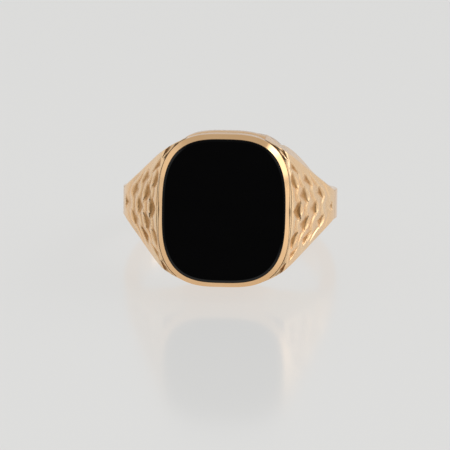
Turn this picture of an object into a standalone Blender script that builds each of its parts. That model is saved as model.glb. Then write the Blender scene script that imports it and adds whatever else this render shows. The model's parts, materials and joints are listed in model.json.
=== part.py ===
"""Gold signet ring with a cushion-shaped onyx tablet and scale-cut shoulders.

The ring is built up from separate pieces soldered together: a plain shank, two shoulders,
a collet that carries the head, and a bezel made of an outer collar and an inner bearer,
with the stone bedded in it. Each piece is modelled in the ring's own axes: x across the
finger, y from the stone (-y) to the back of the shank (+y), z along the finger. A parent
empty then leans the ring back until the collet and the shank both rest on z = 0.
"""

import math

import bmesh
import bpy
from mathutils import Matrix, Vector

MM = 0.001

# Finger hole and shank
FINGER_RADIUS = 9.5 * MM
SHANK_RADIUS = 11.0 * MM
SHANK_HALF_WIDTH = 1.5 * MM
SHANK_EDGE = 0.15 * MM
SHANK_STEPS = 44
JOINT_ANGLE = math.radians(12.0)

# Stone and its cushion outline, a superellipse
STONE_HALF_WIDTH = 6.0 * MM
STONE_HALF_HEIGHT = 7.0 * MM
CUSHION_POWER = 3.0
STONE_THICKNESS = 2.0 * MM
STONE_BEVEL = 0.45 * MM
STONE_BEVEL_DROP = 0.26 * MM
STONE_UNDERCUT = 0.3 * MM
TABLE_Y = -13.8 * MM
OUTLINE_STEPS = 72

# Thin joints: solder and cement films, and the clearance that keeps pieces apart
FILM = 0.10 * MM
CLEARANCE = 0.03 * MM

# Bezel and collet, measured outward from the stone's outline
COLLAR_WALL = 0.6 * MM
COLLAR_LIP_DROP = 0.17 * MM
COLLAR_EDGE_DROP = 0.75 * MM
COLLAR_EDGE_ROUND = 0.28 * MM
BEARER_WIDTH = 0.95 * MM
BEARER_THICKNESS = 0.45 * MM
COLLET_BORE_INSET = 1.5 * MM
COLLET_FLARE = 0.15 * MM
COLLET_FLARE_FROM = 6.4 * MM
COLLET_FLARE_FULL = 7.3 * MM
COLLET_FLOOR_STEPS = 4

# Shoulders: a straight slope, tangent to the shank's outer circle, with a rounded brow
SLOPE_ANGLE = math.radians(21.5)
SLOPE_TOP_Y = -12.55 * MM
BROW_RADIUS = 1.15 * MM
CORNER_ANGLE = math.radians(66.0)
SHOULDER_HEAD_X = 6.82 * MM
SHOULDER_HEAD_HALF_WIDTH = 5.2 * MM
SHOULDER_TAPER = 0.95
CORNER_SLOPE = 0.85
CORNER_BEND = 0.08 / MM
SHOULDER_DOME = 0.75 * MM
SHOULDER_STEPS = 14
SHOULDER_WIDTH_STEPS = 24
SEARCH_STEPS = 36

# Scale cuts: columns counted from the stone towards the shank
CUT_PITCH = 2.8 * MM
CUT_COLUMNS = 5
CUT_FIRST = 1.77 * MM
CUT_COLUMN_STEP = 2.08 * MM
CUT_LENGTH = 1.9 * MM
CUT_DEPTH = 0.34 * MM
CUT_WIDTH = 1.75 * MM
CUT_BOW = 0.09 / MM
CUT_BOW_STEP = 0.055 / MM
CUT_SHRINK = 0.1
CUT_REACH = 1.35
CUT_WALL_SHARE = 0.12
CUT_EDGE_MARGIN = 0.35 * MM

GOLD = (0.80, 0.56, 0.31)
SOLDER = (0.78, 0.58, 0.36)
ONYX = (0.004, 0.004, 0.005)
CEMENT = (0.36, 0.33, 0.27)

# Depths of the stacked pieces behind the stone
STONE_BACK_Y = TABLE_Y + STONE_THICKNESS
CEMENT_Y = STONE_BACK_Y + CLEARANCE
BEARER_Y = CEMENT_Y + FILM + CLEARANCE
BEZEL_BACK_Y = BEARER_Y + BEARER_THICKNESS
BEZEL_SOLDER_Y = BEZEL_BACK_Y + CLEARANCE
COLLET_TOP_Y = BEZEL_SOLDER_Y + FILM + CLEARANCE

# Where the shoulder's straight slope starts, at the head
SLOPE_OUT = Vector((math.cos(SLOPE_ANGLE), -math.sin(SLOPE_ANGLE)))
SLOPE_ALONG = Vector((math.sin(SLOPE_ANGLE), math.cos(SLOPE_ANGLE)))
SLOPE_FOOT = SLOPE_OUT * SHANK_RADIUS
SLOPE_LENGTH = (SLOPE_FOOT.y - SLOPE_TOP_Y) / SLOPE_ALONG.y
SLOPE_HEAD = SLOPE_FOOT - SLOPE_ALONG * SLOPE_LENGTH
BROW_TURN = math.pi / 2.0 - SLOPE_ANGLE
BROW_LENGTH = BROW_RADIUS * BROW_TURN
SHOULDER_LENGTH = SLOPE_LENGTH + SHANK_RADIUS * (SLOPE_ANGLE - JOINT_ANGLE) - CLEARANCE


def clear_scene():
    for old in list(bpy.data.objects):
        bpy.data.objects.remove(old, do_unlink=True)


def make_material(name, color, roughness, metallic):
    material = bpy.data.materials.new(name)
    material.use_nodes = True
    shader = material.node_tree.nodes["Principled BSDF"]
    shader.inputs["Base Color"].default_value = (*color, 1.0)
    shader.inputs["Roughness"].default_value = roughness
    shader.inputs["Metallic"].default_value = metallic
    return material


def add_piece(name, bm, material, stance):
    """One named object from a closed bmesh, riding on the empty that sets the ring's lean."""
    bmesh.ops.recalc_face_normals(bm, faces=bm.faces)
    if bm.calc_volume(signed=True) < 0.0:
        bmesh.ops.reverse_faces(bm, faces=bm.faces)
    mesh = bpy.data.meshes.new(name)
    bm.to_mesh(mesh)
    bm.free()
    mesh.materials.append(material)
    mesh.shade_smooth()
    mesh.set_sharp_from_angle(angle=math.radians(35.0))
    piece = bpy.data.objects.new(name, mesh)
    bpy.context.scene.collection.objects.link(piece)
    piece.parent = stance
    return piece


def cushion_point(angle, offset):
    """The stone's outline at a polar angle, as (x, z), moved outward along its normal."""
    c = math.cos(angle)
    s = math.sin(angle)
    p = CUSHION_POWER
    reach = (abs(c / STONE_HALF_WIDTH) ** p + abs(s / STONE_HALF_HEIGHT) ** p) ** (-1.0 / p)
    point = Vector((reach * c, reach * s))
    slope_x = math.copysign((abs(point.x) / STONE_HALF_WIDTH) ** (p - 1) / STONE_HALF_WIDTH, c)
    slope_z = math.copysign((abs(point.y) / STONE_HALF_HEIGHT) ** (p - 1) / STONE_HALF_HEIGHT, s)
    return point + Vector((slope_x, slope_z)).normalized() * offset


def outline_angles():
    return [2.0 * math.pi * i / OUTLINE_STEPS for i in range(OUTLINE_STEPS)]


def finger_y(x):
    """Depth of the finger hole's wall on the stone's side, at a distance x from the middle."""
    return -math.sqrt(FINGER_RADIUS**2 - x**2)


def bridge_rows(bm, rows, closed):
    """Quads between neighbouring rows of vertices, each row being a closed loop."""
    pairs = list(zip(rows, rows[1:]))
    if closed:
        pairs.append((rows[-1], rows[0]))
    for first, second in pairs:
        count = len(first)
        for i in range(count):
            j = (i + 1) % count
            bm.faces.new((first[i], first[j], second[j], second[i]))


def cushion_loop(bm, offset, depth, flare=0.0):
    """A loop of vertices on the offset outline at one depth; depth may be a function of x.
    A flare moves the loop further out at the head's two ends, clear of the shoulders."""
    loop = []
    for angle in outline_angles():
        height = abs(cushion_point(angle, offset).y)
        share = (height - COLLET_FLARE_FROM) / (COLLET_FLARE_FULL - COLLET_FLARE_FROM)
        spread = flare * min(max(share, 0.0), 1.0)
        point = cushion_point(angle, offset + spread)
        y = depth(point.x) if callable(depth) else depth
        loop.append(bm.verts.new((point.x, y, point.y)))
    return loop


def cushion_band(profile):
    """A closed band round the outline, from a closed profile of (offset, depth) corners, each
    with an optional flare."""
    bm = bmesh.new()
    rows = [cushion_loop(bm, *corner) for corner in profile]
    bridge_rows(bm, rows, closed=True)
    return bm


def build_onyx_tablet(material, stance):
    back = STONE_BACK_Y
    profile = (
        (-STONE_BEVEL, TABLE_Y),
        (0.0, TABLE_Y + STONE_BEVEL_DROP),
        (0.0, back - STONE_UNDERCUT),
        (-STONE_UNDERCUT, back),
    )
    bm = bmesh.new()
    rows = [cushion_loop(bm, offset, depth) for offset, depth in profile]
    bridge_rows(bm, rows, closed=False)
    bm.faces.new(rows[0])
    bm.faces.new(rows[-1])
    return add_piece("onyx_tablet", bm, material, stance)


def build_bezel_collar(material, stance):
    """The outer strip of the bezel, its top edge rubbed over the stone's bevel."""
    inner = CLEARANCE
    outer = COLLAR_WALL
    lip_y = TABLE_Y + COLLAR_LIP_DROP
    edge_y = TABLE_Y + COLLAR_EDGE_DROP
    profile = (
        (inner, BEZEL_BACK_Y),
        (outer, BEZEL_BACK_Y),
        (outer, edge_y),
        (outer - COLLAR_EDGE_ROUND / 3.0, edge_y - COLLAR_EDGE_ROUND),
        (outer / 2.0, lip_y + CLEARANCE * 2.0),
        (0.0, lip_y),
        (inner, TABLE_Y + STONE_BEVEL_DROP),
    )
    return add_piece("bezel_collar", cushion_band(profile), material, stance)


def build_flat_band(name, inner, outer, front_y, thickness, material, stance):
    back_y = front_y + thickness
    profile = ((inner, front_y), (outer, front_y), (outer, back_y), (inner, back_y))
    return add_piece(name, cushion_band(profile), material, stance)


def build_head_collet(material, stance):
    """The head's open frame: the cushion outline outside, the light hole inside, and the
    finger hole's curve across its underside."""
    inner = -COLLET_BORE_INSET
    profile = [(inner, COLLET_TOP_Y), (COLLAR_WALL, COLLET_TOP_Y)]
    for i in range(COLLET_FLOOR_STEPS + 1):
        t = i / COLLET_FLOOR_STEPS
        offset = COLLAR_WALL + (inner - COLLAR_WALL) * t
        profile.append((offset, finger_y, COLLET_FLARE * (1.0 - t)))
    return add_piece("head_collet", cushion_band(profile), material, stance)


def shoulder_outer(s):
    """The shoulder's outer profile as (x, y), and its outward normal. s runs from the top
    of the slope: negative over the brow towards the stone, then down the slope, then along
    the shank's circle."""
    if s < 0.0:
        turn = min(-s / BROW_RADIUS, BROW_TURN)
        angle = SLOPE_ANGLE + turn
        out = Vector((math.cos(angle), -math.sin(angle)))
        flat = Vector((min(0.0, s + BROW_LENGTH), 0.0))
        return SLOPE_HEAD + (out - SLOPE_OUT) * BROW_RADIUS + flat, out
    if s <= SLOPE_LENGTH:
        return SLOPE_HEAD + SLOPE_ALONG * s, SLOPE_OUT.copy()
    angle = SLOPE_ANGLE - (s - SLOPE_LENGTH) / SHANK_RADIUS
    out = Vector((math.cos(angle), -math.sin(angle)))
    return out * SHANK_RADIUS, out


def shoulder_half_width(x):
    """Half the shoulder's width at a distance x from the ring's middle: wide at the head,
    narrowing to the shank."""
    inward = SHOULDER_HEAD_X - x
    if inward > 0.0:
        return SHOULDER_HEAD_HALF_WIDTH + CORNER_SLOPE * inward - CORNER_BEND * inward**2
    return max(SHOULDER_HEAD_HALF_WIDTH + SHOULDER_TAPER * inward, SHANK_HALF_WIDTH)


def shoulder_dome(s):
    """How far the outer face falls away at its two edges."""
    full = SHOULDER_HEAD_HALF_WIDTH - SHANK_HALF_WIDTH
    share = (shoulder_half_width(shoulder_outer(s)[0].x) - SHANK_HALF_WIDTH) / full
    return SHOULDER_DOME * min(share, 1.0) ** 1.5


def shoulder_surface(side, s, across):
    """A point on the outer face of one shoulder, side being +1 (right) or -1 (left), at a
    share of the half width."""
    point, out = shoulder_outer(s)
    point = point - out * shoulder_dome(s) * across**2
    return Vector((side * point.x, point.y, across * shoulder_half_width(point.x)))


def shoulder_surface_at(side, s, z):
    """The point of the outer face that stands at height z."""
    across = 0.0
    for _ in range(SEARCH_STEPS):
        across = z / shoulder_half_width(shoulder_surface(1.0, s, across).x)
    return shoulder_surface(side, s, across)


def outline_angle_at(across, offset):
    """The outline's angle, on its right-hand side, at this share of the half width."""
    low = -CORNER_ANGLE
    high = CORNER_ANGLE
    for _ in range(SEARCH_STEPS):
        angle = (low + high) / 2.0
        point = cushion_point(angle, offset)
        if point.y < across * shoulder_half_width(point.x):
            low = angle
        else:
            high = angle
    return angle


def shoulder_start(across):
    """Where the line at this share of the half width leaves the collet's wall: the
    distance along the shoulder, and the outline's angle there."""
    offset = COLLAR_WALL + FILM + 2.0 * CLEARANCE
    angle = outline_angle_at(across, offset)
    wall_x = cushion_point(angle, offset).x
    low = -BROW_LENGTH - SHOULDER_HEAD_X
    high = SLOPE_LENGTH / 2.0
    for _ in range(SEARCH_STEPS):
        s = (low + high) / 2.0
        if shoulder_surface(1.0, s, across).x < wall_x:
            low = s
        else:
            high = s
    return s, angle


def shoulder_shares():
    """Shares of the half width at which the shoulder's lengthwise lines run."""
    return [2.0 * j / SHOULDER_WIDTH_STEPS - 1.0 for j in range(SHOULDER_WIDTH_STEPS + 1)]


def shoulder_row(bm, side, share, starts):
    """One closed loop round the shoulder: across the outer face, then back along the hole."""
    offset = COLLAR_WALL + FILM + 2.0 * CLEARANCE
    outer = []
    inner = []
    for across, (start, outline_angle) in zip(shoulder_shares(), starts):
        s = start + (SHOULDER_LENGTH - start) * share
        front = shoulder_surface(side, s, across)
        outer.append(bm.verts.new(front))
        head_angle = math.acos(cushion_point(outline_angle, offset).x / FINGER_RADIUS)
        angle = head_angle + (JOINT_ANGLE - head_angle) * share
        x = side * FINGER_RADIUS * math.cos(angle)
        y = -FINGER_RADIUS * math.sin(angle)
        inner.append(bm.verts.new((x, y, front.z)))
    return outer + inner[::-1]


def build_shoulder_block(name, side, material, stance):
    """The shoulder before its cuts, one end fitted to the collet, the other to the shank."""
    bm = bmesh.new()
    starts = [shoulder_start(across) for across in shoulder_shares()]
    rows = []
    for i in range(SHOULDER_STEPS + 1):
        rows.append(shoulder_row(bm, side, i / SHOULDER_STEPS, starts))
    bridge_rows(bm, rows, closed=False)
    for row in (rows[0], rows[-1]):
        count = len(row)
        for j in range(SHOULDER_WIDTH_STEPS):
            bm.faces.new((row[j], row[j + 1], row[count - 2 - j], row[count - 1 - j]))
    return add_piece(name, bm, material, stance)


def hide_guide(guide):
    guide.hide_render = True
    guide.display_type = "WIRE"


def cut_positions():
    """(s, z, scale) of each cut's deep end, in bowed columns that lose one cut at a time."""
    places = []
    for column in range(CUT_COLUMNS):
        count = CUT_COLUMNS - column
        middle = CUT_FIRST + CUT_COLUMN_STEP * column
        bow = CUT_BOW + CUT_BOW_STEP * column
        size = 1.0 - CUT_SHRINK * column
        for i in range(count):
            z = CUT_PITCH * (i - (count - 1) / 2.0)
            places.append((middle - bow * z**2, z, size))
    return places


def add_cut(bm, side, s, z, size):
    """A gouge: shallow towards the stone, with a steep wall on the shank's side."""
    length = CUT_LENGTH * size
    half = CUT_WIDTH * size / 2.0
    edge = [
        shoulder_surface_at(side, s - length, z),
        shoulder_surface_at(side, s, z + half),
        shoulder_surface_at(side, s, z - half),
    ]
    middle = shoulder_surface_at(side, s - CUT_WALL_SHARE * length, z)
    out = (edge[1] - edge[0]).cross(edge[2] - edge[0]).normalized()
    if out.dot(Vector((side, -1.0, 0.0))) < 0.0:
        out.negate()
    deepest = middle - out * CUT_DEPTH * size
    corners = [bm.verts.new(deepest)]
    for point in edge:
        corners.append(bm.verts.new(deepest + (point - deepest) * CUT_REACH))
    for triple in ((1, 2, 3), (0, 1, 2), (0, 2, 3), (0, 3, 1)):
        bm.faces.new([corners[k] for k in triple])


def build_scale_cutter(name, side, stance):
    bm = bmesh.new()
    for s, z, size in cut_positions():
        edge = shoulder_half_width(shoulder_surface(1.0, s, 1.0).x)
        if abs(z) < edge - CUT_EDGE_MARGIN:
            add_cut(bm, side, s, z, size)
    cutter = add_piece(name, bm, None, stance)
    hide_guide(cutter)
    return cutter


def cut_with(piece, cutter):
    boolean = piece.modifiers.new(cutter.name, "BOOLEAN")
    boolean.operation = "DIFFERENCE"
    boolean.solver = "MANIFOLD"
    boolean.object = cutter


def build_shoulder(name, side, material, stance):
    shoulder = build_shoulder_block(name, side, material, stance)
    cut_with(shoulder, build_scale_cutter(name + "_cutter", side, stance))
    return shoulder


def band_section(bm, angle, half_width):
    """The shank's section at an angle from +x, measured towards the stone."""
    e = SHANK_EDGE
    corners = (
        (FINGER_RADIUS + e, -half_width),
        (SHANK_RADIUS - e, -half_width),
        (SHANK_RADIUS, -half_width + e),
        (SHANK_RADIUS, half_width - e),
        (SHANK_RADIUS - e, half_width),
        (FINGER_RADIUS + e, half_width),
        (FINGER_RADIUS, half_width - e),
        (FINGER_RADIUS, -half_width + e),
    )
    loop = []
    for radius, z in corners:
        loop.append(bm.verts.new((radius * math.cos(angle), -radius * math.sin(angle), z)))
    return loop


def build_band(name, start, end, steps, material, stance):
    """A length of the shank's section, swept from one angle to another."""
    bm = bmesh.new()
    rows = []
    for i in range(steps + 1):
        angle = start + (end - start) * i / steps
        rows.append(band_section(bm, angle, SHANK_HALF_WIDTH))
    bridge_rows(bm, rows, closed=False)
    bm.faces.new(rows[0])
    bm.faces.new(rows[-1])
    return add_piece(name, bm, material, stance)


def build_shank(gold, solder, stance):
    """The plain band round the back, and the solder film at each of its two ends."""
    gap = CLEARANCE / SHANK_RADIUS
    film = FILM / SHANK_RADIUS
    near = JOINT_ANGLE - gap
    far = near - film
    build_band("shank_solder_right", near, far, 1, solder, stance)
    build_band("shank_solder_left", math.pi - far, math.pi - near, 1, solder, stance)
    build_band("shank_band", far - gap, -math.pi - far + gap, SHANK_STEPS, gold, stance)


def build_head_solder(name, side, material, stance):
    """The solder film between the collet's wall and one shoulder."""
    inner = COLLAR_WALL + CLEARANCE
    outer = inner + FILM
    bm = bmesh.new()
    rows = []
    for across in shoulder_shares()[1:-1]:
        angle = shoulder_start(across)[1]
        loop = []
        for offset, front in ((inner, True), (outer, True), (outer, False), (inner, False)):
            point = cushion_point(angle, offset)
            y = COLLET_TOP_Y + FILM if front else finger_y(point.x) - CLEARANCE
            loop.append(bm.verts.new((side * point.x, y, point.y)))
        rows.append(loop)
    bridge_rows(bm, rows, closed=False)
    bm.faces.new(rows[0])
    bm.faces.new(rows[-1])
    return add_piece(name, bm, material, stance)


def make_stance():
    """The empty that leans the ring back until collet and shank both touch z = 0."""
    wall = STONE_HALF_HEIGHT + COLLAR_WALL + COLLET_FLARE
    drop = wall - SHANK_HALF_WIDTH
    run = FINGER_RADIUS + SHANK_RADIUS
    lean = math.atan2(drop, run)
    turn = Matrix.Rotation(-lean, 4, "X")
    lowest = (turn @ Vector((0.0, -FINGER_RADIUS, -wall))).z
    back = (turn @ Vector((0.0, SHANK_RADIUS, SHANK_HALF_WIDTH))).y
    front = (turn @ Vector((0.0, TABLE_Y + COLLAR_LIP_DROP, -STONE_HALF_HEIGHT))).y
    stance = bpy.data.objects.new("ring_stance", None)
    bpy.context.scene.collection.objects.link(stance)
    stance.rotation_euler = (-lean, 0.0, 0.0)
    stance.location = (0.0, -(back + front) / 2.0, -lowest)
    return stance


def main():
    clear_scene()
    gold = make_material("polished_gold", GOLD, 0.14, 1.0)
    solder = make_material("gold_solder", SOLDER, 0.25, 1.0)
    onyx = make_material("black_onyx", ONYX, 0.08, 0.0)
    cement = make_material("stone_cement", CEMENT, 0.7, 0.0)
    stance = make_stance()
    build_onyx_tablet(onyx, stance)
    build_flat_band(
        "stone_cement", -BEARER_WIDTH + FILM, -STONE_UNDERCUT, CEMENT_Y, FILM, cement, stance
    )
    build_bezel_collar(gold, stance)
    build_flat_band(
        "bezel_bearer", -BEARER_WIDTH, 0.0, BEARER_Y, BEARER_THICKNESS, gold, stance
    )
    build_flat_band(
        "bezel_solder", -BEARER_WIDTH + FILM, COLLAR_WALL - FILM, BEZEL_SOLDER_Y, FILM,
        solder, stance,
    )
    build_head_collet(gold, stance)
    for word, side in (("right", 1.0), ("left", -1.0)):
        build_shoulder("shoulder_" + word, side, gold, stance)
        build_head_solder("head_solder_" + word, side, solder, stance)
    build_shank(gold, solder, stance)


main()
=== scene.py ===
import json
import math
from collections import namedtuple

import bmesh
import bpy
import numpy as np
from mathutils import Matrix, Vector


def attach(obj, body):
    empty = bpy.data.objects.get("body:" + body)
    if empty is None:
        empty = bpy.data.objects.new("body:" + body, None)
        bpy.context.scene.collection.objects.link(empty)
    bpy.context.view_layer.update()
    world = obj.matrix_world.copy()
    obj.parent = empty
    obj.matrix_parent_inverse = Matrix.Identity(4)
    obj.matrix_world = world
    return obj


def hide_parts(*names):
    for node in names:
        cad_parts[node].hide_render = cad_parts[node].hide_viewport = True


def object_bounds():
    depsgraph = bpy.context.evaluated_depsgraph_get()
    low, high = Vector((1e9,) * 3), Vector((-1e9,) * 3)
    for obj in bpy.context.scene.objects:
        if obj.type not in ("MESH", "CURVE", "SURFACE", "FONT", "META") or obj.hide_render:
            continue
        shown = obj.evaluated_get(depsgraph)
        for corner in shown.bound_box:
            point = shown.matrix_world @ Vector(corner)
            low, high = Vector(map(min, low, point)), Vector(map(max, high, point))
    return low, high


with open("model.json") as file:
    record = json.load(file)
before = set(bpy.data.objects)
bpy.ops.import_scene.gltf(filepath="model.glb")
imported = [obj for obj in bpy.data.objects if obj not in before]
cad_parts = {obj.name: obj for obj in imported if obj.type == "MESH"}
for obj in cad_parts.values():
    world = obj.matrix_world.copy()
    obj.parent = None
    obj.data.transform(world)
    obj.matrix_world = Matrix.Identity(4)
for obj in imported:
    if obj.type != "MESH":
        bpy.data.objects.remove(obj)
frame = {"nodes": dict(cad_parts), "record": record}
cad_low, cad_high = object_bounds()

# The looks of a gold signet ring with a black onyx tablet and scale-cut shoulders.
#
# Lengths are in millimetres, in the ring's own axes: x across the finger, y from the stone
# (-y) to the back of the shank (+y), z along the finger. One matrix, RING, carries every
# mesh from there into the row frame.

MM = 0.001

# Shank and finger hole
FINGER_RADIUS = 9.5
SHANK_RADIUS = 11.0
SHANK_HALF_WIDTH = 1.5
BAND_EDGE = 0.14
JOINT_ANGLE = math.radians(12.0)
SHANK_STEPS = 320

# Joints: the gap left beside solder, the width of a line of solder on the shank and how far
# it lies below the gold, and how far the head's solder rises past the rim's edge
SEAM = 0.02
SOLDER_LINE = 0.06
SOLDER_INSET = 0.004
SOLDER_RISE = 0.02

# Cushion outline, a superellipse
CUSHION_POWER = 3.0
OUTLINE_STEPS = 360

# Corners of a profile: how much of a straight run a corner may take up, and how far past
# its curve a guard point stands
CORNER_ROOM = 0.38
CORNER_GUARD = 1.25
FINE_ROUND = 0.02

# Stone. Its profile starts and ends well inside the outline, and those ends are cut off.
STONE_BEVEL = 0.22
STONE_BEVEL_DROP = 0.09
STONE_BEVEL_ROUND = 0.10
STONE_GAP = 0.012
STONE_GIRDLE_ROUND = 0.03
STONE_UNDERCUT = 0.3
STONE_BACK_ROUND = 0.05
STONE_RUN_IN = 1.0

# Bezel: the rim's face falls from the lip to its edge, and the wall below spreads a little.
# The face is narrow at the sides and wide at the corners, where polishing wore it down.
RIM_NARROW = 0.42
RIM_WIDE = 0.585
RIM_MIDDLE = 0.522
RIM_SIDE_SWELL = -0.043
RIM_CORNER_SWELL = -0.058
RIM_DROP = 0.63
RIM_EDGE_ROUND = 0.16
RIM_WALL_DROP = 0.75
RIM_WALL_ROUND = 0.6
LIP_WIDTH = 0.045
LIP_DROP = 0.03
LIP_ROUND = 0.05

# Strips behind the rim, measured inward from the stone's outline
CEMENT_WIDTH = 0.85
BEARER_WIDTH = 0.95
BEARER_GAP = 0.005
BEARER_ROUND = 0.06
BEZEL_SEAM_WIDTH = 0.85
BEZEL_SEAM_ROUND = 0.01

# Collet, flared at the head's two ends and most of all at its upper right corner
COLLET_BORE_INSET = 1.5
COLLET_FLARE = 0.15
COLLET_FLARE_FROM = 6.3
COLLET_FLARE_FULL = 7.4
CORNER_FLARE = 2.4
CORNER_FLARE_FROM = 1.5
CORNER_FLARE_FULL = 4.8
COLLET_FLOOR_STEPS = 24
COLLET_EDGE = 0.06
COLLET_TOP_EDGE = 0.01

# Shoulders
SLOPE_ANGLE = math.radians(21.5)
SLOPE_TOP_Y = -12.55
BROW_RADIUS = 1.15
CORNER_ANGLE = math.radians(66.0)
SHOULDER_HEAD_X = 6.82
SHOULDER_HEAD_HALF_WIDTH = 5.2
SHOULDER_TAPER = 0.95
CORNER_SLOPE = 0.85
CORNER_BEND = 0.08
SHOULDER_DOME = 0.75
DOME_POWER = 1.5
SHOULDER_FLARE = 0.08
FLARE_START = 0.6
SHOULDER_EDGE = 0.15
SHOULDER_ROWS = 280
INNER_COLUMNS = 50
OUTER_PER_INNER = 4
EDGE_STEPS = 6
WALL_SHARES = (0.03, 0.5, 0.97)
SEARCH_STEPS = 36
FACE_PASSES = 4

# Scale cuts, in bowed columns counted from the stone, with wavy ribs winding between them
CUT_COLUMNS = 5
CUT_PITCH = 2.85
CUT_FIRST = 1.77
CUT_COLUMN_STEP = 2.06
CUT_BOW = 0.09
CUT_BOW_STEP = 0.055
CUT_LENGTH = 2.35
CUT_WIDTH = 2.2
CUT_DEPTH = 0.33
CUT_EDGE_SHRINK = 0.35
CUT_SHRINK = 0.12
CUT_WALL_SHARE = 0.10
CUT_BLEND = 0.12
CUT_SOFTNESS = 0.03
CUT_JITTER = 0.05
CUT_DEPTH_JITTER = 3.0
CHISEL_MARK = 0.006
CHISEL_PITCH = 0.34
CHISEL_SLANT = 0.25
# Depth at which the hollows' patina and painted shade, and the chisel marks, are full
PATINA_AND_SHADE_DEPTH = 0.18
BURR_HEIGHT = 0.03
BURR_WIDTH = 0.10
RIB_DEPTH = 0.11
RIB_TURN = 0.72
RIB_WAVE = 0.34
RIB_FADE = 0.9
RIB_FIRST = (-0.95, -0.55)
RIB_EDGE = (2.3, 4.2)
RELIEF_START = 0.6

# What differs between the two shoulders: the sign of x, the seed of their irregularities, the
# size of their cuts, the painted shade in their ribs' hollows, and the flare along their upper
# side
Side = namedtuple("Side", "word sign seed cut_growth rib_tarnish upper_flare")
SIDES = (
    Side("right", 1.0, 11, 1.0, 0.5, 0.55),
    Side("left", -1.0, 23, 1.22, 0.95, SHOULDER_FLARE),
)

# Colours, linear
GOLD = (0.92, 0.60, 0.33, 1.0)
GOLD_DEEP = (0.88, 0.55, 0.28, 1.0)
# A paler copy of the gold for the shoulders: painted sheen, standing in for their washed-out
# highlights
GOLD_PALED_BY_SHEEN = (0.89, 0.645, 0.40, 1.0)
# Brown laid into the cuts and the ribs' hollows: patina, and painted shade as well
PATINA_AND_SHADE_COLOR = (0.64, 0.34, 0.11, 1.0)
SOLDER = (0.90, 0.68, 0.43, 1.0)
ONYX_DARK = (0.0012, 0.0012, 0.0014, 1.0)
ONYX_PALE = (0.0026, 0.0025, 0.003, 1.0)
CEMENT_DARK = (0.30, 0.27, 0.21, 1.0)
CEMENT_PALE = (0.42, 0.39, 0.32, 1.0)
FLOOR_COLOR = (0.14, 0.14, 0.139, 1.0)
FLOOR_GLOW_COLOR = (1.0, 0.998, 0.985, 1.0)
TENT_COLOR = (1.0, 1.0, 0.99, 1.0)

# Roughness of each gold finish where it is smoothest, and how far the haze raises it
POLISHED = (0.05, 0.08)
SATIN = (0.12, 0.12)
CHASED = (0.17, 0.10)

# Wear of the gold and the stone: hairlines run in three directions
HAIRLINE_TURNS = ((0.3, 0.2, 0.9), (1.2, 0.5, -0.4), (-0.6, 1.1, 0.2))
HAIRLINE_ROUGHNESS = 0.06
HAIRLINE_DEPTH = 0.06
# Where patina and painted shade lie, the gold grows rougher and loses some of its metal
GRIME_ROUGHNESS = 0.35
GRIME_AND_SHADE_COVER = 0.5
GOLD_BUMP = 0.012
ONYX_IOR = 1.40
ONYX_HAIRLINE_ROUGHNESS = 0.04
ONYX_BUMP = 0.0002
CEMENT_BUMP = 0.02

# Studio: a floor in metres, fading between two radii, and the backdrop that the camera sees
BACKDROP = 0.675
FLOOR_SIZE = 1.6
FLOOR_FADE = (0.13, 0.75)
FLOOR_IOR = 1.5
FLOOR_GLOW = 0.66
FLOOR_ROUGHNESS = 0.16

# The light tent's general radiance, then its patches, each laid over the ones before it:
# direction, inner and outer angle in degrees, radiance
TENT_BASE = 0.86
TENT = (
    ((0.0, 0.25, 1.0), 20.0, 62.0, 0.56),
    ((0.0, -0.5, 0.87), 22.0, 42.0, 0.10),
    ((0.0, 0.95, 0.30), 8.0, 34.0, 0.62),
    ((0.0, -1.0, -0.1), 44.0, 68.0, 0.05),
    ((0.80, 0.27, 0.54), 9.0, 22.0, 3.0),
    ((0.93, 0.20, 0.30), 8.0, 18.0, 1.7),
)

# Camera: aimed at a point a little right of and below the middle of the stone's table
CAMERA_DISTANCE = 250.0
CAMERA_AZIMUTH = math.radians(3.0)
CAMERA_ELEVATION = math.radians(21.9)
CAMERA_LENS = 205.0
CAMERA_CLIP = (0.01, 10.0)
AIM_RIGHT = 0.146
AIM_DOWN = 1.318

# The shoulder's slope, from its foot on the shank up to its head, and the brow above it
SLOPE_OUT = np.array((math.cos(SLOPE_ANGLE), -math.sin(SLOPE_ANGLE)))
SLOPE_ALONG = np.array((math.sin(SLOPE_ANGLE), math.cos(SLOPE_ANGLE)))
SLOPE_FOOT = SLOPE_OUT * SHANK_RADIUS
SLOPE_LENGTH = (SLOPE_FOOT[1] - SLOPE_TOP_Y) / SLOPE_ALONG[1]
SLOPE_HEAD = SLOPE_FOOT - SLOPE_ALONG * SLOPE_LENGTH
BROW_TURN = math.pi / 2.0 - SLOPE_ANGLE
BROW_LENGTH = BROW_RADIUS * BROW_TURN
SHOULDER_LENGTH = SLOPE_LENGTH + SHANK_RADIUS * (SLOPE_ANGLE - JOINT_ANGLE)


def ring_matrix():
    """The ring's own axes, in millimetres, as a matrix into the row frame."""
    mounts = {mount["name"]: mount for mount in frame["record"]["mounts"]}
    table = Vector(mounts["stone_table"]["pos_m"])
    back = -Vector(mounts["stone_table"]["axis"])
    along = Vector(mounts["shank_side_upper"]["axis"])
    turn = Matrix((back.cross(along), back, along)).transposed()
    band = frame["nodes"]["shank_band"].data.vertices
    depth = max((vertex.co - table).dot(back) for vertex in band)
    centre = table + back * (depth - SHANK_RADIUS * MM)
    return Matrix.Translation(centre) @ turn.to_4x4() @ Matrix.Scale(MM, 4)


RING = ring_matrix()


def local_box(node):
    """A CAD node's lowest and highest corner in the ring's own axes."""
    inverse = RING.inverted()
    points = np.array([inverse @ vertex.co for vertex in frame["nodes"][node].data.vertices])
    return points.min(axis=0), points.max(axis=0)


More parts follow.
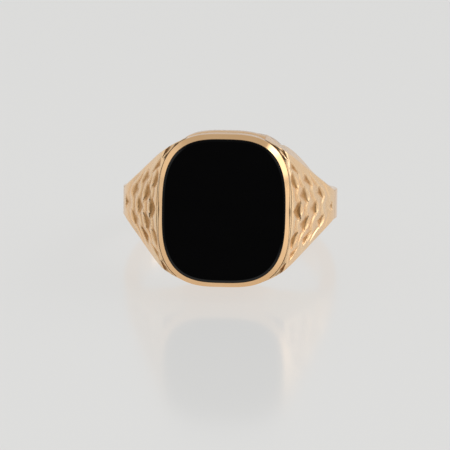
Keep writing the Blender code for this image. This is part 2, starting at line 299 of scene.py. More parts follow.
STONE_LOW, STONE_HIGH = local_box("onyx_tablet")
COLLAR_LOW, COLLAR_HIGH = local_box("bezel_collar")
BEARER_LOW, BEARER_HIGH = local_box("bezel_bearer")
CEMENT_LOW, CEMENT_HIGH = local_box("stone_cement")
COLLET_TOP = local_box("head_collet")[0][1]

STONE_HALF_WIDTH = STONE_HIGH[0]
STONE_HALF_HEIGHT = STONE_HIGH[2]
TABLE_Y = STONE_LOW[1]
COLLAR_WALL = COLLAR_HIGH[0] - STONE_HALF_WIDTH
LIP_Y = COLLAR_LOW[1]


# ---------------------------------------------------------------- meshes


def add_mesh(name, points, faces, material, nodes, patina_and_shade=None):
    """A piece from points in the ring's own axes; it rides on the one body and stands for
    the CAD nodes it replaces."""
    mesh = bpy.data.meshes.new(name)
    turn = np.array(RING)
    placed = np.asarray(points) @ turn[:3, :3].T + turn[:3, 3]
    mesh.from_pydata(placed.tolist(), [], faces)
    # A per-point share of patina with painted shade, which darkens the gold's colour in its
    # hollows
    if patina_and_shade is not None:
        layer = mesh.attributes.new("patina_and_shade", "FLOAT", "POINT")
        layer.data.foreach_set("value", np.asarray(patina_and_shade, np.float32))
    bm = bmesh.new()
    bm.from_mesh(mesh)
    bmesh.ops.recalc_face_normals(bm, faces=bm.faces)
    if bm.calc_volume(signed=True) < 0.0:
        bmesh.ops.reverse_faces(bm, faces=bm.faces)
    bm.to_mesh(mesh)
    bm.free()
    mesh.shade_smooth()
    mesh.set_sharp_from_angle(angle=math.radians(60.0))
    mesh.materials.append(material)
    piece = bpy.data.objects.new(name, mesh)
    bpy.context.scene.collection.objects.link(piece)
    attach(piece, "root")
    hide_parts(*nodes)


def grid_faces(rows, columns, closed):
    """Quads between neighbouring loops of a (rows, columns) grid."""
    faces = []
    last = rows if closed else rows - 1
    for i in range(last):
        near = i * columns
        far = (i + 1) % rows * columns
        for j in range(columns):
            k = (j + 1) % columns
            faces.append((near + j, near + k, far + k, far + j))
    return faces


def end_faces(rows, columns):
    """The first and the last loop, each closed by one flat face."""
    first = tuple(range(columns))
    last = tuple((rows - 1) * columns + j for j in range(columns))
    return [first, last]


def round_corners(corners, steps=6):
    """A closed profile from (u, v, radius) corners, each turned on a curve. A guard point on
    either side of a curve keeps the straight runs flat."""
    points = []
    count = len(corners)
    for i, (u, v, radius) in enumerate(corners):
        here = np.array((u, v))
        before = np.array(corners[i - 1][:2]) - here
        after = np.array(corners[(i + 1) % count][:2]) - here
        room = CORNER_ROOM * min(np.linalg.norm(before), np.linalg.norm(after))
        before = before / np.linalg.norm(before)
        after = after / np.linalg.norm(after)
        half = math.acos(max(-1.0, min(1.0, float(before @ after)))) / 2.0
        reach = min(radius / max(math.tan(half), 1e-6), room)
        start = here + before * reach
        end = here + after * reach
        points.append(here + before * reach * CORNER_GUARD)
        for step in range(steps + 1):
            t = step / steps
            points.append(start * (1 - t) ** 2 + here * 2 * t * (1 - t) + end * t**2)
        points.append(here + after * reach * CORNER_GUARD)
    return points


def soft_max(a, b, soft):
    """The larger of two values, blended where they are close."""
    return 0.5 * (a + b + np.sqrt((a - b) ** 2 + soft**2))


def soft_min(a, b, soft):
    """The smaller of two values, blended where they are close."""
    return 0.5 * (a + b - np.sqrt((a - b) ** 2 + soft**2))


def smooth_step(low, high, value):
    """0 up to the low value, 1 from the high value on, and smooth between them."""
    t = np.clip((value - low) / (high - low), 0.0, 1.0)
    return t * t * (3.0 - 2.0 * t)


def outline(angle, offset):
    """The cushion outline at polar angles, as x and z, moved outward along its normal."""
    c = np.cos(angle)
    s = np.sin(angle)
    p = CUSHION_POWER
    a = STONE_HALF_WIDTH
    b = STONE_HALF_HEIGHT
    reach = (np.abs(c / a) ** p + np.abs(s / b) ** p) ** (-1.0 / p)
    x = reach * c
    z = reach * s
    nx = np.sign(c) * (np.abs(x) / a) ** (p - 1) / a
    nz = np.sign(s) * (np.abs(z) / b) ** (p - 1) / b
    size = np.hypot(nx, nz)
    return x + offset * nx / size, z + offset * nz / size


def finger_y(x):
    """Depth of the finger hole's wall on the stone's side."""
    return -np.sqrt(FINGER_RADIUS**2 - x**2)


def cushion_rows(profile):
    """One loop on the offset outline for each (offset, depth) of a profile. A third number
    is a flare, which moves the loop further out at the head's two ends, and most of all at
    its upper right corner."""
    angles = np.linspace(0.0, 2.0 * math.pi, OUTLINE_STEPS, endpoint=False)
    rows = []
    for offset, depth, *flare in profile:
        x, z = outline(angles, offset)
        ends = smooth_step(COLLET_FLARE_FROM, COLLET_FLARE_FULL, np.abs(z))
        corner = smooth_step(CORNER_FLARE_FROM, CORNER_FLARE_FULL, np.minimum(x, z))
        x, z = outline(angles, offset + sum(flare) * np.maximum(ends, CORNER_FLARE * corner))
        y = depth(x) if callable(depth) else np.full_like(x, depth)
        rows.append(np.stack((x, y, z), axis=1))
    return np.array(rows)


def cushion_band(name, rows, material):
    """A closed band round the outline. It replaces the CAD node it is named after."""
    faces = grid_faces(len(rows), OUTLINE_STEPS, closed=True)
    node = name.removesuffix("_fine")
    add_mesh(name, rows.reshape(-1, 3), faces, material, [node])


# ---------------------------------------------------------------- head


def build_stone(material):
    """The tablet: a flat polished table, a soft bevel, a straight girdle and an undercut."""
    back = STONE_HIGH[1]
    girdle = TABLE_Y + STONE_BEVEL_DROP
    corners = (
        (-STONE_BEVEL - STONE_RUN_IN, TABLE_Y, 0.0),
        (-STONE_BEVEL, TABLE_Y, STONE_BEVEL_ROUND),
        (-STONE_GAP, girdle, STONE_GIRDLE_ROUND),
        (-STONE_GAP, back - STONE_UNDERCUT, STONE_BACK_ROUND),
        (-STONE_UNDERCUT, back, STONE_BACK_ROUND),
        (-STONE_UNDERCUT - STONE_RUN_IN, back, 0.0),
    )
    profile = round_corners(corners, steps=8)
    per_corner = len(profile) // len(corners)
    profile = profile[per_corner:-per_corner]
    rows = cushion_rows(profile)
    faces = grid_faces(len(rows), OUTLINE_STEPS, closed=False)
    faces += end_faces(len(rows), OUTLINE_STEPS)
    add_mesh("onyx_tablet_fine", rows.reshape(-1, 3), faces, material, ["onyx_tablet"])


def rim_width(angle):
    """Width of the rim's face at an outline angle."""
    side = RIM_SIDE_SWELL * np.cos(2.0 * angle)
    return RIM_MIDDLE + side + RIM_CORNER_SWELL * np.cos(4.0 * angle)


def collar_rows(width):
    """The bezel's outer strip with a rim face of one width."""
    back = COLLAR_HIGH[1]
    edge = LIP_Y + RIM_DROP
    corners = (
        (0.0, back, FINE_ROUND),
        (COLLAR_WALL, back, FINE_ROUND),
        (COLLAR_WALL, edge + RIM_WALL_DROP, RIM_WALL_ROUND),
        (width, edge, RIM_EDGE_ROUND),
        (LIP_WIDTH, LIP_Y, LIP_ROUND),
        (0.0, LIP_Y + LIP_DROP, FINE_ROUND),
    )
    return cushion_rows(round_corners(corners))


def build_collar(material):
    """The bezel's outer strip, rubbed over the stone's edge and polished."""
    angles = np.linspace(0.0, 2.0 * math.pi, OUTLINE_STEPS, endpoint=False)
    share = ((rim_width(angles) - RIM_NARROW) / (RIM_WIDE - RIM_NARROW))[None, :, None]
    rows = collar_rows(RIM_NARROW) * (1.0 - share) + collar_rows(RIM_WIDE) * share
    cushion_band("bezel_collar_fine", rows, material)


def flat_rows(inner, outer, front, back, radius):
    """A flat strip between two offsets and two depths, with rounded corners."""
    corners = (
        (inner, front, radius),
        (outer, front, radius),
        (outer, back, radius),
        (inner, back, radius),
    )
    return cushion_rows(round_corners(corners, steps=4))


def build_strips(gold, solder, cement):
    """What lies behind the rim: the stone's cement, its bearer and the bezel's solder."""
    rows = flat_rows(-CEMENT_WIDTH, -STONE_UNDERCUT, CEMENT_LOW[1], CEMENT_HIGH[1], FINE_ROUND)
    cushion_band("stone_cement_fine", rows, cement)
    rows = flat_rows(-BEARER_WIDTH, -BEARER_GAP, BEARER_LOW[1], BEARER_HIGH[1], BEARER_ROUND)
    cushion_band("bezel_bearer_fine", rows, gold)
    outer = COLLAR_WALL - BEZEL_SEAM_ROUND
    rows = flat_rows(-BEZEL_SEAM_WIDTH, outer, COLLAR_HIGH[1], COLLET_TOP, BEZEL_SEAM_ROUND)
    cushion_band("bezel_solder_fine", rows, solder)


def build_collet(material):
    """The head's frame, its floor following the finger hole and its bore left open."""
    inner = -COLLET_BORE_INSET
    top = COLLET_TOP
    edge = COLLET_EDGE
    profile = [(inner, top + edge), (inner + edge, top)]
    profile += [(COLLAR_WALL - COLLET_TOP_EDGE, top), (COLLAR_WALL, top + COLLET_TOP_EDGE)]
    floor = []
    for step in range(EDGE_STEPS + 1):
        turn = math.pi / 2.0 * step / EDGE_STEPS
        floor.append((COLLAR_WALL - edge * (1.0 - math.cos(turn)), edge * (1.0 - math.sin(turn))))
    for step in range(1, COLLET_FLOOR_STEPS):
        share = step / COLLET_FLOOR_STEPS
        floor.append((COLLAR_WALL - edge + (inner + 2.0 * edge - COLLAR_WALL) * share, 0.0))
    for step in range(EDGE_STEPS + 1):
        turn = math.pi / 2.0 * step / EDGE_STEPS
        floor.append((inner + edge * (1.0 - math.sin(turn)), edge * (1.0 - math.cos(turn))))
    for offset, lift in floor:
        share = (offset - inner) / (COLLAR_WALL - inner)
        profile.append((offset, lambda x, lift=lift: finger_y(x) - lift, COLLET_FLARE * share))
    cushion_band("head_collet_fine", cushion_rows(profile), material)


# ---------------------------------------------------------------- shoulders


def slope_profile(s):
    """The shoulder's outer line at distances s from the slope's top: x, y and the outward
    normal. It is negative over the brow, then runs down the slope and along the shank."""
    turn = np.clip(-s / BROW_RADIUS, 0.0, BROW_TURN)
    back = np.clip((s - SLOPE_LENGTH) / SHANK_RADIUS, 0.0, None)
    angle = SLOPE_ANGLE + turn - back
    nx = np.cos(angle)
    ny = -np.sin(angle)
    radius = np.where(s < 0.0, BROW_RADIUS, SHANK_RADIUS)
    along = np.clip(s, 0.0, SLOPE_LENGTH)
    flat = np.minimum(0.0, s + BROW_LENGTH)
    x = SLOPE_HEAD[0] + SLOPE_ALONG[0] * along + (nx - SLOPE_OUT[0]) * radius + flat
    y = SLOPE_HEAD[1] + SLOPE_ALONG[1] * along + (ny - SLOPE_OUT[1]) * radius
    return x, y, nx, ny


def half_width(x):
    """Half the shoulder's width at a distance x from the ring's middle."""
    inward = SHOULDER_HEAD_X - x
    head = SHOULDER_HEAD_HALF_WIDTH + CORNER_SLOPE * inward - CORNER_BEND * inward**2
    arm = np.maximum(SHOULDER_HEAD_HALF_WIDTH + SHOULDER_TAPER * inward, SHANK_HALF_WIDTH)
    return np.where(inward > 0.0, head, arm)


def width_share(x):
    """1 at the head and 0 where the shoulder has narrowed to the shank."""
    full = SHOULDER_HEAD_HALF_WIDTH - SHANK_HALF_WIDTH
    return np.clip((half_width(x) - SHANK_HALF_WIDTH) / full, 0.0, 1.0)


def column_line(column, z):
    """Distance down the slope of a column of cuts, bowed back towards the stone."""
    bow = CUT_BOW + CUT_BOW_STEP * column
    return CUT_FIRST + CUT_COLUMN_STEP * column - bow * z**2


def rib_relief(s, z):
    """Ribs winding along the finger between the cuts: each falls gently to its far side,
    then steps up to the next. They die out towards the shoulder's edges."""
    count = (s - CUT_FIRST + CUT_BOW * z**2) / (CUT_COLUMN_STEP - CUT_BOW_STEP * z**2)
    wave = np.cos(math.pi * count) * np.cos(2.0 * math.pi * z / CUT_PITCH)
    phase = count - RIB_WAVE * wave
    part = phase - np.floor(phase)
    fall = smooth_step(0.0, RIB_TURN, part)
    rise = 1.0 - smooth_step(RIB_TURN, 1.0, part)
    shown = 1.0 - smooth_step(CUT_COLUMNS - 1.0 - RIB_FADE, CUT_COLUMNS - 1.0, count)
    shown = shown * smooth_step(*RIB_FIRST, count)
    shown = shown * (1.0 - smooth_step(*RIB_EDGE, np.abs(z)))
    return RIB_DEPTH * np.minimum(fall, rise) * shown


def cut_relief(s, z, random, growth):
    """Gouges with a tip towards the stone and a steep wall on the shank's side, and the burr
    each one raises along its edge."""
    depth = np.zeros(np.shape(s))
    burr = np.zeros(np.shape(s))
    for column in range(CUT_COLUMNS):
        count = CUT_COLUMNS - column
        for i in range(count):
            shift_s, shift_z, grow = random.normal(0.0, CUT_JITTER, 3)
            middle = CUT_PITCH * (i - (count - 1) / 2.0) + shift_z
            size = growth * (1.0 - CUT_SHRINK * column)
            size *= 1.0 - CUT_EDGE_SHRINK * (middle / SHOULDER_HEAD_HALF_WIDTH) ** 2
            length = CUT_LENGTH * size
            deep = CUT_DEPTH * size / growth * (1.0 + CUT_DEPTH_JITTER * grow)
            down = s - column_line(column, z) - shift_s
            aside = np.abs(z - middle) / (CUT_WIDTH * size / 2.0)
            ramp = (down + length) / ((1.0 - CUT_WALL_SHARE) * length) - aside
            wall = -down / (CUT_WALL_SHARE * length)
            level = soft_min(ramp, wall, CUT_BLEND)
            pit = soft_max(deep * soft_min(level, 1.0, CUT_BLEND), 0.0, CUT_SOFTNESS)
            marks = np.cos(2.0 * math.pi * (z - middle + CHISEL_SLANT * down) / CHISEL_PITCH)
            pit = pit + CHISEL_MARK * marks * np.clip(pit / PATINA_AND_SHADE_DEPTH, 0.0, 1.0)
            depth = np.maximum(depth, pit - CUT_SOFTNESS / 2.0)
            burr = np.maximum(burr, size * np.exp(-((level / BURR_WIDTH) ** 2)))
    return depth, BURR_HEIGHT * burr


def relief_of(s, z, start, side):
    """Depth of ribs and cuts below the shoulder's smooth outer face, and how dark they are
    painted:
    patina with painted shade in the cuts, painted shade in the ribs' hollows, deeper spots
    darker.
    Both fade out towards the line's start at the head."""
    cuts, burr = cut_relief(s, z, np.random.default_rng(side.seed), side.cut_growth)
    ribs = rib_relief(s, z)
    fade = smooth_step(0.0, RELIEF_START, s - start)
    # Painted shade: the deeper a spot lies in a cut or between ribs, the darker, on top of the
    # cuts' patina
    tarnish_and_shade = smooth_step(0.0, PATINA_AND_SHADE_DEPTH, (cuts + side.rib_tarnish * ribs) * fade)
    return (cuts + ribs - burr) * fade, tarnish_and_shade


def edge_columns(flat_steps, edge):
    """Across a face with rounded edges: share of the flat part, share of the edge's radius,
    and how far the edge falls."""
    turn = np.linspace(0.0, math.pi / 2.0, EDGE_STEPS + 1)[1:]
    flat = np.linspace(-1.0, 1.0, flat_steps + 1)
    ones = np.ones(EDGE_STEPS)
    zeros = np.zeros(flat_steps + 1)
    share = np.concatenate((-ones, flat, ones))
    reach = edge * np.concatenate((-np.sin(turn)[::-1], zeros, np.sin(turn)))
    drop = edge * np.concatenate((1.0 - np.cos(turn)[::-1], zeros, 1.0 - np.cos(turn)))
    return share, reach, drop


def smooth_face(s, columns):
    """The shoulder's outer face before its relief: x, y, z and the outward normal."""
    share, reach, drop = columns
    x, y, nx, ny = slope_profile(s)
    dome = SHOULDER_DOME * width_share(x) ** DOME_POWER
    across = share
    for _ in range(FACE_PASSES):
        fall = dome * across**2 + drop
        width = half_width(x - nx * fall)
        z = share * (width - SHOULDER_EDGE) + reach
        across = z / width
    return x - nx * fall, y - ny * fall, z, nx, ny


def wall_points(columns, offset):
    """Where each lengthwise line meets the head's side wall, as x and z."""
    share, reach, _ = columns
    low = np.full(share.shape, -CORNER_ANGLE)
    high = np.full(share.shape, CORNER_ANGLE)
    for _ in range(SEARCH_STEPS):
        angle = (low + high) / 2.0
        x, z = outline(angle, offset)
        below = z < share * (half_width(x) - SHOULDER_EDGE) + reach
        low = np.where(below, angle, low)
        high = np.where(below, high, angle)
    return x, z


def shoulder_starts(columns):
    """How far up each lengthwise line runs before it meets the head's wall."""
    wall_x = wall_points(columns, COLLAR_WALL + SEAM)[0]
    low = np.full(wall_x.shape, -BROW_LENGTH - SHOULDER_HEAD_X)
    high = np.full(wall_x.shape, SLOPE_LENGTH / 2.0)
    for _ in range(SEARCH_STEPS):
        s = (low + high) / 2.0
        inside = smooth_face(s, columns)[0] < wall_x
        low = np.where(inside, s, low)
        high = np.where(inside, high, s)
    return s


def outer_face(side, progress):
    """Points of the outer face as (rows, columns, 3), and how much patina and painted shade
    darken each.
    """
    columns = edge_columns(INNER_COLUMNS * OUTER_PER_INNER, SHOULDER_EDGE)
    start = shoulder_starts(columns)
    s = start + (SHOULDER_LENGTH - start) * progress
    x, y, z, nx, ny = smooth_face(s, columns)
    depth, tarnish_and_shade = relief_of(s, z, start, side)
    points = np.stack((side.sign * (x - nx * depth), y - ny * depth, z), axis=2)
    return points, tarnish_and_shade


def inner_face(side, progress):
    """Points of the face against the finger. It is a little wider than the outer one, most of
    all along the upper side of the right shoulder."""
    columns = edge_columns(INNER_COLUMNS, SHOULDER_EDGE)
    start = shoulder_starts(columns)
    s = start + (SHOULDER_LENGTH - start) * progress
    z = smooth_face(s, columns)[2]
    flare = np.where(z > 0.0, side.upper_flare, SHOULDER_FLARE)
    z = z + flare * columns[0] * np.minimum(1.0, FLARE_START + progress) * (1.0 - progress**2)
    radius = FINGER_RADIUS + columns[2]
    head = np.arccos(wall_points(columns, COLLAR_WALL + SEAM)[0] / radius)
    angle = head + (JOINT_ANGLE - head) * progress
    x = side.sign * radius * np.cos(angle)
    return np.stack((x, -radius * np.sin(angle), z), axis=2)


def wall_between(first, last):
    """Columns of points down a side wall, from one edge of a face to the other face's."""
    shares = np.array(WALL_SHARES)[None, :, None]
    return first[:, None, :] * (1.0 - shares) + last[:, None, :] * shares


def section_ends(rows, outer_count, inner_count, columns):
    """Both ends of a shoulder, closed by narrow faces between its outer and inner edge."""
    inner_first = outer_count + len(WALL_SHARES)
    faces = []
    for base in (0, (rows - 1) * columns):
        for k in range(INNER_COLUMNS):
            j = EDGE_STEPS + k * OUTER_PER_INNER
            outer = [base + j + n for n in range(OUTER_PER_INNER + 1)]
            back = inner_first + inner_count - 1 - EDGE_STEPS - k
            faces.append((*outer, base + back - 1, base + back))
        upper = range(outer_count - 1 - EDGE_STEPS, inner_first + EDGE_STEPS + 1)
        faces.append(tuple(base + n for n in upper))
        lower = list(range(inner_first + inner_count - 1 - EDGE_STEPS, columns))
        lower += list(range(0, EDGE_STEPS + 1))
        faces.append(tuple(base + n for n in lower))
    return faces


def build_shoulder(side, material):
    """One shoulder: its cut outer face, its face against the finger and the walls between."""
    progress = np.linspace(0.0, 1.0, SHOULDER_ROWS + 1)[:, None]
    outer, tarnish_and_shade = outer_face(side, progress)
    inner = inner_face(side, progress)[:, ::-1]
    upper = wall_between(outer[:, -1], inner[:, 0])
    lower = wall_between(inner[:, -1], outer[:, 0])
    points = np.concatenate((outer, upper, inner, lower), axis=1)
    rows, columns = points.shape[:2]
    # Patina with painted shade, on the outer face only
    patina_and_shade = np.zeros((rows, columns))
    patina_and_shade[:, : outer.shape[1]] = tarnish_and_shade
    faces = grid_faces(rows, columns, closed=False)
    faces += section_ends(rows, outer.shape[1], inner.shape[1], columns)
    name = "shoulder_" + side.word
    flat = points.reshape(-1, 3)
    add_mesh(name + "_fine", flat, faces, material, [name], patina_and_shade.reshape(-1))


def build_head_solder(side, material):
    """The solder between the head's wall and a shoulder. Its face closes the step from the
    rim's edge down to the shoulder."""
    columns = edge_columns(INNER_COLUMNS * OUTER_PER_INNER, SHOULDER_EDGE)
    outer = outer_face(side, np.zeros((1, 1)))[0][0]
    wall_x, wall_z = wall_points(columns, COLLAR_WALL)
    rim_x, rim_z = wall_points(columns, rim_width(np.arctan2(wall_z, wall_x)) + SEAM)
    rim_y = LIP_Y + RIM_DROP - SOLDER_RISE
    turn_y = LIP_Y + RIM_DROP + RIM_WALL_DROP
    rows = []
    for k in range(EDGE_STEPS, len(outer) - EDGE_STEPS):
        x, y, z = outer[k]
        edge = (side.sign * rim_x[k], rim_y, rim_z[k])
        near = (side.sign * wall_x[k], turn_y, wall_z[k])
        back = finger_y(x) - SEAM
        rows.append((edge, (x, y + SEAM, z), (x, back, z), (near[0], back, near[2]), near))
    points = np.array(rows)
    count = points.shape[1]
    faces = grid_faces(len(points), count, closed=False) + end_faces(len(points), count)
    name = "head_solder_" + side.word
    add_mesh(name + "_fine", points.reshape(-1, 3), faces, material, [name])


# ---------------------------------------------------------------- shank


def build_band(name, start, end, steps, inset, material):
    """A length of the shank's section, swept from one angle to another."""
    inner = FINGER_RADIUS + inset
    outer = SHANK_RADIUS - inset
    half = SHANK_HALF_WIDTH - inset
    corners = (
        (inner, -half, BAND_EDGE),
        (outer, -half, BAND_EDGE),
        (outer, half, BAND_EDGE),
        (inner, half, BAND_EDGE),
    )
    section = np.array(round_corners(corners))
    angles = np.linspace(start, end, steps + 1)[:, None]
    x = section[:, 0] * np.cos(angles)
    y = -section[:, 0] * np.sin(angles)
    z = np.broadcast_to(section[:, 1], x.shape)
    points = np.stack((x, y, z), axis=2)
    rows, columns = points.shape[:2]
    faces = grid_faces(rows, columns, closed=False) + end_faces(rows, columns)
    node = name.removesuffix("_fine")
    add_mesh(name, points.reshape(-1, 3), faces, material, [node])


def build_shank(gold, solder):
    """The plain band, with a line of solder at each of its two ends."""
    far = JOINT_ANGLE - SOLDER_LINE / SHANK_RADIUS
    ends = {"right": (JOINT_ANGLE, far), "left": (math.pi - far, math.pi - JOINT_ANGLE)}
    for word, (start, end) in ends.items():
        name = f"shank_solder_{word}_fine"
        build_band(name, start, end, 1, SOLDER_INSET, solder)
    build_band("shank_band_fine", far, -math.pi - far, SHANK_STEPS, 0.0, gold)


# ---------------------------------------------------------------- materials


class Shader:
    """A material's node tree, with a short way to add and join nodes."""

    def __init__(self, name):
        self.material = bpy.data.materials.new(name)
        self.material.use_nodes = True
        self.tree = self.material.node_tree
        self.surface = self.tree.nodes["Principled BSDF"]

    def add(self, kind, inputs=None, **settings):
        node = self.tree.nodes.new(kind)
        for key, value in settings.items():
            setattr(node, key, value)
        for key, value in (inputs or {}).items():
            self.put(node.inputs[key], value)
        return node

    def put(self, socket, value):
        if isinstance(value, bpy.types.NodeSocket):
            self.tree.links.new(value, socket)
        else:
            socket.default_value = value

    def math(self, operation, first, second=0.0):
        node = self.add("ShaderNodeMath", operation=operation)
        self.put(node.inputs[0], first)
        self.put(node.inputs[1], second)
        return node.outputs[0]

    def between(self, value, low, high, to_low, to_high):
        inputs = {"Value": value, "From Min": low, "From Max": high}
        inputs.update({"To Min": to_low, "To Max": to_high})
        return self.add("ShaderNodeMapRange", inputs, clamp=True).outputs["Result"]

    def mix(self, share, first, second):
        node = self.add("ShaderNodeMix", data_type="RGBA")
        self.put(node.inputs["Factor"], share)
        self.put(node.inputs[6], first)
        self.put(node.inputs[7], second)
        return node.outputs[2]

    def place(self, rotation=(0.0, 0.0, 0.0), scale=(1.0, 1.0, 1.0)):
        """Object coordinates in millimetres, turned and stretched."""
        where = self.add("ShaderNodeTexCoord").outputs["Object"]
        size = tuple(part / MM for part in scale)
        inputs = {"Vector": where, "Scale": size, "Rotation": rotation}
        return self.add("ShaderNodeMapping", inputs).outputs["Vector"]

    def noise(self, where, scale, detail=2.0, roughness=0.5):
        inputs = {"Vector": where, "Scale": scale, "Detail": detail, "Roughness": roughness}
        return self.add("ShaderNodeTexNoise", inputs).outputs["Fac"]

    def scratches(self, turns, stretch, scale, low, high):
        """Fine hairlines, each set running its own way."""
        total = None
        for turn in turns:
            where = self.place(turn, (1.0, stretch, stretch))
            line = self.between(self.noise(where, scale, 1.0, 0.4), low, high, 0.0, 1.0)
            total = line if total is None else self.math("MAXIMUM", total, line)
        return total

    def finish(self, color, roughness, height, depth):
        self.put(self.surface.inputs["Base Color"], color)
        self.put(self.surface.inputs["Roughness"], roughness)
        inputs = {"Height": height, "Strength": 1.0, "Distance": depth * MM}
        bump = self.add("ShaderNodeBump", inputs)
        self.put(self.surface.inputs["Normal"], bump.outputs["Normal"])
        return self.material


def gold_material(name, color, deep, finish):
    """Worked gold: faint colour clouds, polishing haze, hairlines, and patina with painted shade
    in the cuts and rib hollows.
    """
    rough, rough_spread = finish
    shader = Shader(name)
    clouds = shader.noise(shader.place(), 0.45, 3.0)
    haze = shader.noise(shader.place(), 1.9, 4.0, 0.6)
    hairs = shader.scratches(HAIRLINE_TURNS, 14.0, 0.8, 0.62, 0.72)
    tarnish_and_shade = shader.add("ShaderNodeAttribute", attribute_name="patina_and_shade").outputs["Fac"]
    # Patina with painted shade: the hollows that the mesh marks turn brown, rougher and less
    # metallic
    grime_and_shade = shader.math("MULTIPLY", tarnish_and_shade, shader.between(haze, 0.3, 0.7, 0.65, 1.0))
    tone = shader.mix(shader.between(clouds, 0.3, 0.7, 0.0, 1.0), color, deep)
    tone = shader.mix(grime_and_shade, tone, PATINA_AND_SHADE_COLOR)
    roughness = shader.between(haze, 0.25, 0.75, rough, rough + rough_spread)
    scuffed = shader.math("MULTIPLY", hairs, HAIRLINE_ROUGHNESS)
    roughness = shader.math("ADD", roughness, scuffed)
    dulled = shader.math("MULTIPLY", grime_and_shade, GRIME_ROUGHNESS)
    roughness = shader.math("ADD", roughness, dulled)
    metal = shader.math("SUBTRACT", 1.0, shader.math("MULTIPLY", grime_and_shade, GRIME_AND_SHADE_COVER))
    shader.put(shader.surface.inputs["Metallic"], metal)
    waves = shader.noise(shader.place(), 0.8, 2.0)
    height = shader.math("SUBTRACT", waves, shader.math("MULTIPLY", hairs, HAIRLINE_DEPTH))
    return shader.finish(tone, roughness, height, GOLD_BUMP)


def onyx_material():
    """Polished black onyx: a trace of banding, wipe marks and a few fine scratches."""
    shader = Shader("black_onyx")
    bands = shader.noise(shader.place((0.4, 0.0, 0.3), (0.2, 1.0, 0.6)), 0.9, 3.0)
    wipes = shader.noise(shader.place(), 0.7, 4.0, 0.6)
    hairs = shader.scratches(HAIRLINE_TURNS, 18.0, 0.5, 0.72, 0.80)
    tone = shader.mix(bands, ONYX_DARK, ONYX_PALE)
    roughness = shader.between(wipes, 0.3, 0.7, 0.02, 0.06)
    scuffed = shader.math("MULTIPLY", hairs, ONYX_HAIRLINE_ROUGHNESS)
    roughness = shader.math("ADD", roughness, scuffed)
    shader.surface.inputs["IOR"].default_value = ONYX_IOR
    height = shader.math("MULTIPLY", hairs, -1.0)
    return shader.finish(tone, roughness, height, ONYX_BUMP)


def cement_material():
    """Hard jeweller's cement, matt and faintly granular."""
    shader = Shader("jewellers_cement")
    grain = shader.noise(shader.place(), 9.0, 4.0, 0.7)
    tone = shader.mix(grain, CEMENT_DARK, CEMENT_PALE)
    roughness = shader.between(grain, 0.2, 0.8, 0.6, 0.85)
    return shader.finish(tone, roughness, grain, CEMENT_BUMP)


# ---------------------------------------------------------------- studio


def build_floor():
    """A pale, faintly glossy floor that fades into the backdrop. It glows less where it
    mirrors more, so it stays even down to a low view."""
    half = FLOOR_SIZE / 2.0
    signs = ((-1.0, -1.0), (1.0, -1.0), (1.0, 1.0), (-1.0, 1.0))
    corners = [(half * x, half * y, cad_low.z) for x, y in signs]
    mesh = bpy.data.meshes.new("studio_floor")
    mesh.from_pydata(corners, [], [(0, 1, 2, 3)])
    floor = bpy.data.objects.new("studio_floor", mesh)
    bpy.context.scene.collection.objects.link(floor)
    shader = Shader("pale_floor")
    mirrored = shader.add("ShaderNodeFresnel", {"IOR": FLOOR_IOR}).outputs["Fac"]
    glow = shader.between(mirrored, 0.0, 1.0, FLOOR_GLOW, 0.0)
    where = shader.add("ShaderNodeTexCoord").outputs["Object"]
    radius = shader.add("ShaderNodeVectorMath", {0: where}, operation="LENGTH").outputs["Value"]
    surface = shader.surface.inputs
    surface["Base Color"].default_value = FLOOR_COLOR
    surface["Roughness"].default_value = FLOOR_ROUGHNESS
    surface["IOR"].default_value = FLOOR_IOR
    surface["Emission Color"].default_value = FLOOR_GLOW_COLOR
    shader.put(surface["Emission Strength"], glow)
    shader.put(surface["Alpha"], shader.between(radius, *FLOOR_FADE, 1.0, 0.0))
    mesh.materials.append(shader.material)


def sky_patch(tree, direction, inner, outer):
    """1 inside a cone round a direction, falling to 0 at its outer angle."""
    where = tree.nodes.new("ShaderNodeTexCoord")
    dot = tree.nodes.new("ShaderNodeVectorMath")
    dot.operation = "DOT_PRODUCT"
    tree.links.new(where.outputs["Generated"], dot.inputs[0])
    dot.inputs[1].default_value = Vector(direction).normalized()
    ramp = tree.nodes.new("ShaderNodeMapRange")
    ramp.interpolation_type = "SMOOTHSTEP"
    ramp.inputs["From Min"].default_value = math.cos(math.radians(outer))
    ramp.inputs["From Max"].default_value = math.cos(math.radians(inner))
    tree.links.new(dot.outputs["Value"], ramp.inputs["Value"])
    return ramp.outputs["Result"]


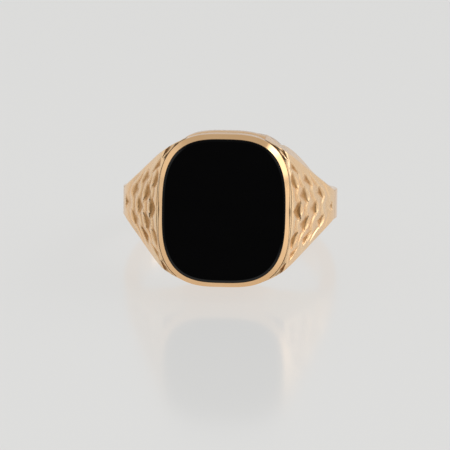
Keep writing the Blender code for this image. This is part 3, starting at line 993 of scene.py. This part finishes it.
def build_world():
    """A light tent: bright sides, a duller top and back, a dark front, and two lamps on the
    right. The camera itself sees the plain backdrop."""
    world = bpy.data.worlds.new("light_tent")
    bpy.context.scene.world = world
    world.use_nodes = True
    tree = world.node_tree
    background = tree.nodes["Background"]
    level = None
    for direction, inner, outer, radiance in TENT:
        patch = sky_patch(tree, direction, inner, outer)
        mix = tree.nodes.new("ShaderNodeMix")
        tree.links.new(patch, mix.inputs["Factor"])
        if level is None:
            mix.inputs["A"].default_value = TENT_BASE
        else:
            tree.links.new(level, mix.inputs["A"])
        mix.inputs["B"].default_value = radiance
        level = mix.outputs["Result"]
    path = tree.nodes.new("ShaderNodeLightPath")
    seen = tree.nodes.new("ShaderNodeMix")
    tree.links.new(path.outputs["Is Camera Ray"], seen.inputs["Factor"])
    tree.links.new(level, seen.inputs["A"])
    seen.inputs["B"].default_value = BACKDROP
    tree.links.new(seen.outputs["Result"], background.inputs["Strength"])
    background.inputs["Color"].default_value = TENT_COLOR


def build_camera():
    """A long lens at the photo's angle."""
    camera = bpy.data.objects.new("camera", bpy.data.cameras.new("camera"))
    bpy.context.scene.collection.objects.link(camera)
    camera.data.lens = CAMERA_LENS
    camera.data.clip_start, camera.data.clip_end = CAMERA_CLIP
    flat = math.cos(CAMERA_ELEVATION)
    across = math.sin(CAMERA_AZIMUTH) * flat
    ahead = -math.cos(CAMERA_AZIMUTH) * flat
    back = Vector((across, ahead, math.sin(CAMERA_ELEVATION)))
    turn = (-back).to_track_quat("-Z", "Y")
    stone = RING @ Vector((0.0, TABLE_Y, 0.0))
    right = turn @ Vector((1.0, 0.0, 0.0))
    up = turn @ Vector((0.0, 1.0, 0.0))
    aim = stone + (right * AIM_RIGHT - up * AIM_DOWN) * MM
    camera.rotation_mode = "QUATERNION"
    camera.rotation_quaternion = turn
    camera.location = aim + back * CAMERA_DISTANCE * MM
    bpy.context.scene.camera = camera


def main():
    bpy.context.scene.view_settings.view_transform = "Standard"
    gold = gold_material("polished_gold", GOLD, GOLD_DEEP, POLISHED)
    # Painted sheen: the shoulders' gold is a paler copy of the polished gold
    chased_gold = gold_material("chased_gold", GOLD_PALED_BY_SHEEN, GOLD, CHASED)
    inner_gold = gold_material("bezel_gold", GOLD, GOLD_DEEP, SATIN)
    solder = gold_material("gold_solder", SOLDER, GOLD, SATIN)
    build_stone(onyx_material())
    build_collar(gold)
    build_strips(inner_gold, solder, cement_material())
    build_collet(gold)
    for side in SIDES:
        build_shoulder(side, chased_gold)
        build_head_solder(side, solder)
    build_shank(gold, solder)
    build_floor()
    build_world()
    build_camera()


main()
